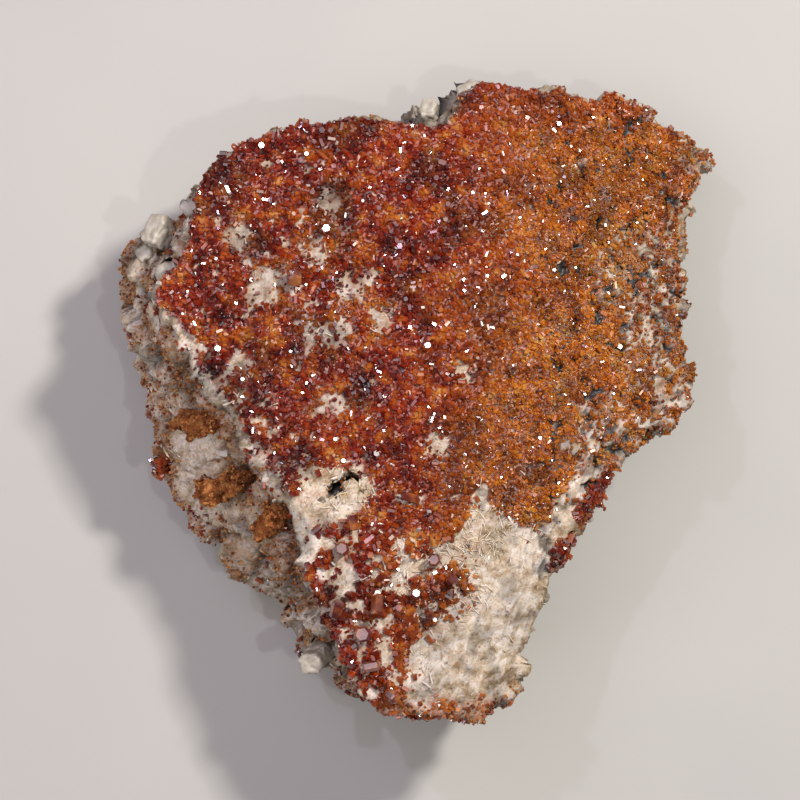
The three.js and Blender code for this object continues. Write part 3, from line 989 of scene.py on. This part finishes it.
    def zone_and_dusk(self, site: Site) -> tuple[float, float]:
        """How orange the vanadinite is at a site, and how dark everything is, each from 0 to 1."""
        point, along = site.point, site.along
        drift = 5 * lumps(point, 12, 3, 2.0) + 4 * lumps(point, 2.5, 3, 49.0)
        zone = smooth(-11, 9, point.x - self.zone_middle - self.zone_lean * point.y + drift)
        zone *= 1 - 0.5 * smooth(0.76, 0.9, along + 0.1 * lumps(point, 5, 2, 61.0))
        dusk = max(
            smooth(0.05, 0.45, lumps(point, 7, 3, 15.0)) * blend(1.0, 0.55, zone),
            0.2 * self.in_cluster(along),
            zone * smooth(0.02, 0.35, lumps(point, 3.2, 3, 35.0)),
            0.4 * site.redness,
            0.45 * site.mottle,
            site.wall * smooth(1.2, 0.8, min(spot.closeness(point) for spot in self.ledge)),
            0.8 * site.windowed,
            0.38 * smooth(1.6, 0.6, self.from_window(point)),
        )
        near_window = smooth(3.2, 1.2, self.from_window(point)) * smooth(-0.4, -0.3, along)
        halo = 0.7 * near_window * smooth(-0.05, 0.25, lumps(point, 2.2, 3, 59.0))
        return max(zone * (1 - site.redness), halo, 0.6 * site.foot_of_face), dusk

    def ochre(self, site: Site) -> float:
        """How fully iron oxide covers the stone at a site, from 0 to 1."""
        point = site.point
        near_crust = 0.0
        for middle, reach in self.crusts:
            away = (point - middle).length / reach + 1.1 * lumps(point, 3.5, 3, 7.0)
            near_crust = max(near_crust, smooth(1.5, 1.1, away))
        streaks = smooth(0.02, 0.3, lumps(point, 5, 3, 7.0))
        streaked = site.wall * max(site.west * max(near_crust, 0.9 * streaks), 0.55 * streaks)
        tinged = (0.8 * site.mottle + 0.5 * site.near_vug) * smooth(-0.25, 0.3, lumps(point, 1.8, 3, 57.0))
        in_sheaf = 0.5 * site.in_sheaf * smooth(-0.1, 0.3, lumps(point, 2, 3, 45.0))
        return max(streaked * (1 - 0.9 * site.crest), tinged, in_sheaf, site.windowed)

    def weather(self, site: Site, rim: float) -> dict[str, float]:
        """What marks a site.

        Args:
            site: What surrounds the place.
            rim: The height of the vug's rim, in millimetres.

        Returns:
            Each mark's strength, mostly from 0 to 1, by name.
        """
        point, wall = site.point, site.wall
        zone, dusk = self.zone_and_dusk(site)
        marks = {"even": 1.0, "wall": wall, "zone": zone, "dusk": dusk, "ochre": self.ochre(site)}
        rusty = smooth(0.1, 0.5, lumps(point, 2.2, 3, 3.0))
        marks["stain"] = max(0.8 * site.edge, 0.5 * site.near_rim * rusty, site.foot_of_face)
        marks["glassy"] = wall * (1 - site.crest) * smooth(-0.15, 0.15, lumps(point, 4.5, 2, 19.0))
        # Painted shade: inside the vug, below its rim, the stone is painted near black.
        in_vug = smooth(1.15, 0.9, self.vug.closeness(point)) * smooth(rim - 1.3, rim - 2.6, point.z)
        pitted = (1 - wall) * smooth(0.3, 0.36, lumps(point, 1.7, 2, 11.0)) * smooth(0.3, 0.5, site.across)
        specks = (1 - wall) * smooth(0.3, 0.4, lumps(point, 0.9, 2, 37.0))
        specks *= max(0.9 * site.mottle, 0.7 * site.in_sheaf)
        marks["in_vug"] = in_vug
        marks["pitted"] = pitted
        # This mark is painted near black: as shade inside the vug, and as dark pits and specks on the face.
        marks["hollow"] = max(in_vug, pitted, specks)
        marks["cover"] = site.cover * (1 - pitted)
        marks["smooth"] = smooth(-0.45, -0.6, site.along) * (1 - site.in_sheaf)
        return marks

    def growing(self, site: Site, marks: dict[str, float]) -> dict[str, float]:
        """How thickly each growth stands at a site, and how large its grains are.

        Args:
            site: What surrounds the place.
            marks: The stone's own marks there.

        Returns:
            Each growth's mask, mostly from 0 to 1, by name.
        """
        point, wall, bare = site.point, site.wall, 1 - site.cover
        grown = smooth(2.0, 6.0, point.z)
        north = 1.0 if site.along > self.half_split else 0.0
        red, orange = marks["cover"] * (1 - marks["zone"]), marks["cover"] * marks["zone"]
        small = blend(1.0, 0.66, marks["zone"])
        grain = blend(small, 1.25, self.in_cluster(site.along)) * (1 - 0.15 * site.mottle)
        loose = 0.5 * site.near_rim * smooth(0.1, 0.35, lumps(point, 3, 2, 21.0))
        on_wall = 0.35 * wall * site.west * smooth(0.15, 0.4, lumps(point, 4, 2, 23.0))
        beside = 0.3 * bare * smooth(1.2, 0.6, min(spot.closeness(point) for spot in self.scatter))
        beside *= smooth(0.0, 0.3, lumps(point, 1.6, 2, 65.0))
        east_rim = 0.9 * bare * site.mottle * smooth(-0.2, 0.15, lumps(point, 1.5, 2, 53.0))
        stray = max(site.edge, site.foot_of_face, loose, on_wall, east_rim, beside)
        plated = smooth(0.0, 0.3, lumps(point, 6, 2, 27.0)) * blend(0.2, 1.0, site.west)
        bare_face = bare * smooth(0.3, 0.7, site.upward) * (1 - marks["in_vug"])
        sprays = 0.25 * smooth(0.1, 0.4, lumps(point, 4, 2, 5.0))
        return {
            "grain": grain,
            "druse": red,
            "north": orange * north,
            "south": orange * (1 - north),
            "sparks": orange,
            "stray": grown * stray,
            "plates": grown * plated * wall * bare * (1 - marks["ochre"]),
            "fibres": bare_face * (1 - site.mottle) * max(site.in_sheaf, 0.7 * site.near_vug, sprays),
            "crumbs": grown * wall * smooth(0.25, 0.85, marks["ochre"]),
        }

    def build(self) -> None:
        """Makes the weathered skin and its attributes."""
        mesh = voxel_copy("barite_matrix", self.voxel * MM)
        carpet = tree_of("vanadinite_carpet")
        self.find_vug()
        self.find_openings(mesh, carpet)
        for name in nodes_called("iron_oxide_crust"):
            low, high = (Vector(corner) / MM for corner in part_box(name))
            self.crusts.append(((low + high) / 2, (high - low).length * self.crust_reach))
        rim = max(place.co.z for place in mesh.vertices if self.vug.closeness(place.co / MM) < 1) / MM
        rows: list[dict[str, float]] = []
        moved: list[float] = []
        for vertex in mesh.vertices:
            point, upward = vertex.co / MM, vertex.normal.z
            site = self.survey(point, upward, carpet.find_nearest(vertex.co)[3] / MM)
            marks = self.weather(site, rim)
            marks.update(self.growing(site, marks))
            wall, cover = marks["wall"], marks["cover"]
            warp = Vector((lumps(point, 5, 2, 1.0), lumps(point, 5, 2, 2.0), lumps(point, 5, 2, 3.0)))
            block, block_crack = cleavage(point + 1.2 * warp, self.block_size)
            chip, chip_crack = cleavage(point + 0.8 * warp, self.chip_size, 5.0)
            broken = self.block_depth * (block - 0.8 * block_crack) + self.chip_depth * (chip - chip_crack)
            chips = 0.8 * (chip - chip_crack) * (1 - cover) * (1 - 0.5 * marks["smooth"])
            face = self.face_relief * (lumps(point, 3.5, 4) + chips)
            face += self.carpet_rise * cover - 0.7 * marks["pitted"]
            near_vug = smooth(1.2, 0.8, self.vug.closeness(point))
            face += 0.5 * near_vug * (cleavage(point, 1.3, 33.0)[0] + chip_crack)
            inside = near_vug * smooth(rim - 1.0, rim - 2.4, point.z)
            broken = (broken + 0.6 * lumps(point, 4, 3, 29.0)) * (1 - 0.8 * cover)
            height = blend(face, broken, wall) * (1 - inside) + 0.12 * lumps(point, 0.9, 2, 8.0)
            moved.extend((vertex.co + vertex.normal * smooth(0.0, 2.5, point.z) * height * MM)[:])
            moved[-1] = max(moved[-1], 0.0)
            # Painted shade: where cracks cut the walls' low faces, they are painted near black.
            deep = max(block_crack * smooth(0.3, -0.4, block), 0.8 * chip_crack * smooth(0.1, -0.4, chip))
            marks["hollow"] = max(marks["hollow"], 0.9 * wall * deep)
            # Painted shade and highlight: the grey stays on low blocks and leaves proud ones, so the walls
            # are painted darker where they sink and paler where they stand out.
            marks["glassy"] *= smooth(0.6, -0.2, block + 0.5 * chip)
            rows.append(marks)
        mesh.vertices.foreach_set("co", moved)
        mesh.update()
        for name in rows[0]:
            store(mesh, name, [row[name] for row in rows])
        mesh.shade_smooth()
        self.skin = mesh

    def dress(self, finish: BariteFinish) -> None:
        """Turns the skin into the piece that stands for the frame's matrix."""
        piece = placed(self.skin.copy(), "barite_matrix_skin")
        kept = ("cover", "zone", "dusk", "stain", "ochre", "wall", "hollow", "glassy")
        for name in [layer.name for layer in piece.data.attributes if not layer.is_required]:
            if piece.data.attributes[name].domain == "POINT" and name not in kept:
                piece.data.attributes.remove(piece.data.attributes[name])
        piece.data.materials.append(finish.material())
        finish_piece(piece, "barite", "barite_matrix")


# ------------------------------------------------------------------ what grows on the rock


@dataclass
class Carpet:
    """The vanadinite that covers the face, and the crystals scattered past its rim."""

    growths: tuple[Growth, ...] = (
        Growth("vanadinite_druse", Grain.PRISM, "druse", 0.5, 0.34, 0.9, seed=1, slender=(0.7, 1.4),
               tilt=75, sink=0.35, sizes="grain"),
        Growth("vanadinite_druse_fine", Grain.PRISM, "druse", 0.36, 0.24, 0.6, seed=2, slender=(0.8, 1.7),
               tilt=90, sink=0.3),
        Growth("vanadinite_facets", Grain.PRISM, "druse", 3.2, 0.4, 0.8, seed=8, tilt=22, sink=0.25),
        Growth("vanadinite_grains_north", Grain.PRISM, "north", 0.26, 0.32, 0.72, seed=3,
               slender=(0.8, 1.6), tilt=90, sink=0.3, sizes="grain"),
        Growth("vanadinite_grains_south", Grain.PRISM, "south", 0.26, 0.32, 0.72, seed=4,
               slender=(0.8, 1.6), tilt=90, sink=0.3, sizes="grain"),
        Growth("vanadinite_sparks", Grain.PRISM, "sparks", 1.0, 0.22, 0.5, seed=9, slender=(0.8, 1.6),
               tilt=40, sink=0.1),
        Growth("vanadinite_strays", Grain.PRISM, "stray", 0.55, 0.26, 0.75, seed=5, slender=(0.6, 1.6),
               tilt=80, sink=0.25, crowding=3.5),
    )

    def build(self, rock: Rock, finish: bpy.types.Material, fine: bpy.types.Material) -> None:
        """Grows the carpet on the rock.

        Args:
            rock: The rock, already built.
            finish: The small crystals' material.
            fine: The material of the finest grains, which are duller.
        """
        for growth in self.growths:
            piece = growth.grow(rock.skin, fine if growth.mask in ("north", "south") else finish)
            stands_for = () if growth.mask == "stray" else ("vanadinite_carpet",)
            finish_piece(piece, "vanadinite", *stands_for)


@dataclass
class BrokenBarite:
    """Plates, fibres and blocks of barite that stand out of the rock. Sizes are in millimetres."""

    growths: tuple[Growth, ...] = (
        Growth("barite_plates", Grain.TABLET, "plates", 1.3, 0.7, 2.2, seed=6, slender=(0.35, 0.8), tilt=65,
               sink=0.55, crowding=1.2),
        Growth("barite_fibres", Grain.LATH, "fibres", 0.3, 0.5, 3.2, seed=7, slender=(0.05, 0.11), tilt=24,
               sink=0.35, crowding=2.2, spin=80),
    )
    voxel: float = 0.3
    chipping: float = 0.13

    def build(self, rock: Rock, finish: bpy.types.Material, fibrous: bpy.types.Material) -> None:
        """Grows the small plates and makes each large blade.

        Args:
            rock: The rock, already built.
            finish: The cleaved stone's material.
            fibrous: The material of the thin blades on the face.
        """
        for growth, stone in zip(self.growths, (finish, fibrous)):
            finish_piece(growth.grow(rock.skin, stone), "barite_crystal")
        for name in nodes_called("barite_blade"):
            mesh = voxel_copy(name, self.voxel * MM)
            moved = []
            for vertex in mesh.vertices:
                point = vertex.co / MM
                chip, crack = cleavage(point, 2.2, 2.0)
                height = self.chipping * (chip - 1.5 * crack + 0.6 * lumps(point, 1.0, 3))
                moved.extend((vertex.co + vertex.normal * height * MM)[:])
            mesh.vertices.foreach_set("co", moved)
            store(mesh, "tint", [0.65 + 0.5 * lumps(vertex.co / MM, 2.5, 3) for vertex in mesh.vertices])
            mesh.materials.append(finish)
            mesh.shade_smooth()
            finish_piece(placed(mesh, f"{name}_cleaved"), "barite_crystal", name)


@dataclass
class WallCrusts:
    """Crusts of vanadinite and of iron oxide that grew on the broken walls. Sizes are in millimetres."""

    voxel: float = 0.35
    swelling: float = 1.1
    sinking: float = 1.9
    crumbs: Growth = Growth(
        "iron_oxide_crumbs", Grain.CRUMB, "crumbs", 0.48, 0.22, 0.6, seed=31, tilt=90, sink=0.35
    )

    def lump(self, name: str) -> bpy.types.Mesh:
        """A knobbly copy of one of the frame's crusts, ready to carry grains."""
        mesh = voxel_copy(name, self.voxel * MM)
        moved = []
        for vertex in mesh.vertices:
            point = vertex.co / MM
            height = self.swelling * (0.5 * lumps(point, 0.9, 3) + 2.2 * lumps(point, 3.4, 4)) - self.sinking
            moved.extend((vertex.co + vertex.normal * height * MM)[:])
        mesh.vertices.foreach_set("co", moved)
        mesh.update()
        for mark, value in (("even", 1.0), ("zone", 0.2), ("dusk", 0.2), ("tint", 0.4)):
            store(mesh, mark, [value] * len(mesh.vertices))
        mesh.shade_smooth()
        return mesh

    def build(self, rock: Rock, vanadinite: bpy.types.Material, ochre: bpy.types.Material) -> None:
        """Makes each crust and grows its grains.

        Args:
            rock: The rock, already built.
            vanadinite: The small crystals' material.
            ochre: The iron oxide's material.
        """
        for kind, slot, finish, grain, sizes in (
            ("vanadinite_crust", "vanadinite", vanadinite, Grain.PRISM, (0.5, 0.4, 0.9)),
            ("iron_oxide_crust", "iron_oxide", ochre, Grain.CRUMB, (0.28, 0.2, 0.55)),
        ):
            for seed, name in enumerate(nodes_called(kind)):
                mesh = self.lump(name)
                growth = Growth(f"{name}_grains", grain, "even", *sizes, seed=20 + seed, tilt=80, sink=0.3)
                finish_piece(growth.grow(mesh, finish), slot, name)
                mesh.materials.append(finish)
                finish_piece(placed(mesh, f"{name}_lump"), slot, name)
        finish_piece(self.crumbs.grow(rock.skin, ochre), "iron_oxide")


@dataclass
class LargeCrystals:
    """The larger vanadinite crystals, which keep the frame's own shapes."""

    ior: float = 2.35
    step: int = 5  # mixes the casts, so that neighbours differ

    def casts(self) -> tuple[VanadiniteFinish, ...]:
        """The three casts of the crystals: garnet, mauve and amber. The mauve cast is partly the crystals'
        own dull tone and partly a painted reflection, the mauve sheen of faces that mirror pale lamps. Clear
        faces mirror like vanadinite.
        """
        return (
            VanadiniteFinish(
                "vanadinite_garnet",
                ("#2c0805", "#4a0f08", "#641a10", "#7c2a18", "#8c4632"),
                depth=-0.6,
                ior=self.ior,
            ),
            VanadiniteFinish(
                # Partly the crystals' own dull tone, partly a painted mauve reflection in the body colour.
                "vanadinite_mauve_cast_and_sheen",
                ("#3a1414", "#542020", "#6c302c", "#7c4038", "#946458"),
                depth=-0.6,
                ior=self.ior,
            ),
            VanadiniteFinish(
                "vanadinite_amber",
                ("#360e06", "#501708", "#68230d", "#7c3316", "#905030"),
                depth=-0.65,
                ior=self.ior,
            ),
        )

    def dress(self) -> None:
        """Gives each crystal one of the casts."""
        materials = [cast.material() for cast in self.casts()]
        for at, name in enumerate(nodes_called("vanadinite_crystal")):
            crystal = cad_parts[name]
            crystal.data.materials.clear()
            crystal.data.materials.append(materials[at * self.step % len(materials)])
            LOG.info("%s: %s", name, crystal.data.materials[0].name)


# ------------------------------------------------------------------ the studio


@dataclass
class Lamp:
    """A soft square lamp, aimed at the specimen. Places and sizes are in millimetres."""

    name: str
    place: tuple[float, float, float]
    size: float
    watts: float
    colour: str = "#ffffff"

    def build(self, target: Vector) -> None:
        """Hangs the lamp and turns it towards the target."""
        light = bpy.data.lights.new(self.name, "AREA")
        light.shape = "SQUARE"
        light.size = self.size * MM
        light.energy = self.watts
        light.color = linear(self.colour)[:3]
        lamp = bpy.data.objects.new(self.name, light)
        lamp.location = Vector(self.place) * MM
        lamp.rotation_euler = (target - lamp.location).to_track_quat("-Z", "Y").to_euler()
        bpy.context.scene.collection.objects.link(lamp)


@dataclass
class Studio:
    """A pale floor, soft lamps and a camera that looks almost straight down."""

    lamps: tuple[Lamp, ...] = (
        Lamp("key", (230, 210, 420), 50, 2.5, "#fffaf2"),
        Lamp("top", (-140, 60, 520), 460, 1.1, "#f6ecf6"),
        Lamp("side", (-360, -160, 200), 160, 0.4, "#fff6ec"),
        Lamp("glint_left", (-150, 190, 460), 10, 0.3, "#dfd2ff"),
        Lamp("glint_right", (120, -60, 500), 10, 0.28),
    )
    camera_height: float = 460.0
    view_width: float = 112.0
    aim_share: tuple[float, float] = (-0.051, -0.018)
    sensor: float = 36.0
    sky: str = "#e8ebf0"
    sky_strength: float = 0.12
    floor_half: float = 1.5  # in metres

    def build(self) -> None:
        """Builds the floor, the lamps and the camera."""
        scene = bpy.context.scene
        low, high = (Vector(corner) for corner in CAD_BOX)
        middle, half = (low + high) / 2, (high - low) / 2
        floor = self.floor()
        for lamp in self.lamps:
            lamp.build(middle)
        world = bpy.data.worlds.new("studio")
        world.use_nodes = True
        world.node_tree.nodes["Background"].inputs["Color"].default_value = linear(self.sky)
        world.node_tree.nodes["Background"].inputs["Strength"].default_value = self.sky_strength
        scene.world = world
        lens = bpy.data.cameras.new("camera")
        lens.sensor_width = self.sensor
        reach = self.camera_height - high.z / MM
        lens.lens = self.sensor * reach / self.view_width
        camera = bpy.data.objects.new("camera", lens)
        aim = middle + Vector((self.aim_share[0] * half.x, self.aim_share[1] * half.y, 0))
        camera.location = (aim.x, aim.y, self.camera_height * MM)
        scene.collection.objects.link(camera)
        scene.camera = camera
        scene.view_settings.view_transform = "Standard"

    def floor(self) -> bpy.types.Object:
        """A wide flat floor at the specimen's foot."""
        shell = bmesh.new()
        bmesh.ops.create_grid(shell, x_segments=1, y_segments=1, size=self.floor_half)
        mesh = bpy.data.meshes.new("floor")
        shell.to_mesh(mesh)
        shell.free()
        mesh.materials.append(FloorFinish().material())
        return placed(mesh, "floor")


# ------------------------------------------------------------------ assembly


def main() -> None:
    """Builds the specimen and the studio."""
    logging.basicConfig(level=logging.INFO, format="%(name)s: %(message)s")
    Studio().build()
    rock = Rock()
    rock.build()
    rock.dress(BariteFinish())
    small = VanadiniteFinish().material()
    fine = VanadiniteFinish("vanadinite_grain", ior=1.75)
    Carpet().build(rock, small, fine.material())
    silky = CleavedFinish("fibrous_barite", "#9a7a48", "#bda682", "#d3c4ac", "#e4dacb")
    BrokenBarite().build(rock, CleavedFinish().material(), silky.material())
    WallCrusts().build(rock, small, OchreFinish().material())
    LargeCrystals().dress()


if __name__ == "__main__":
    main()
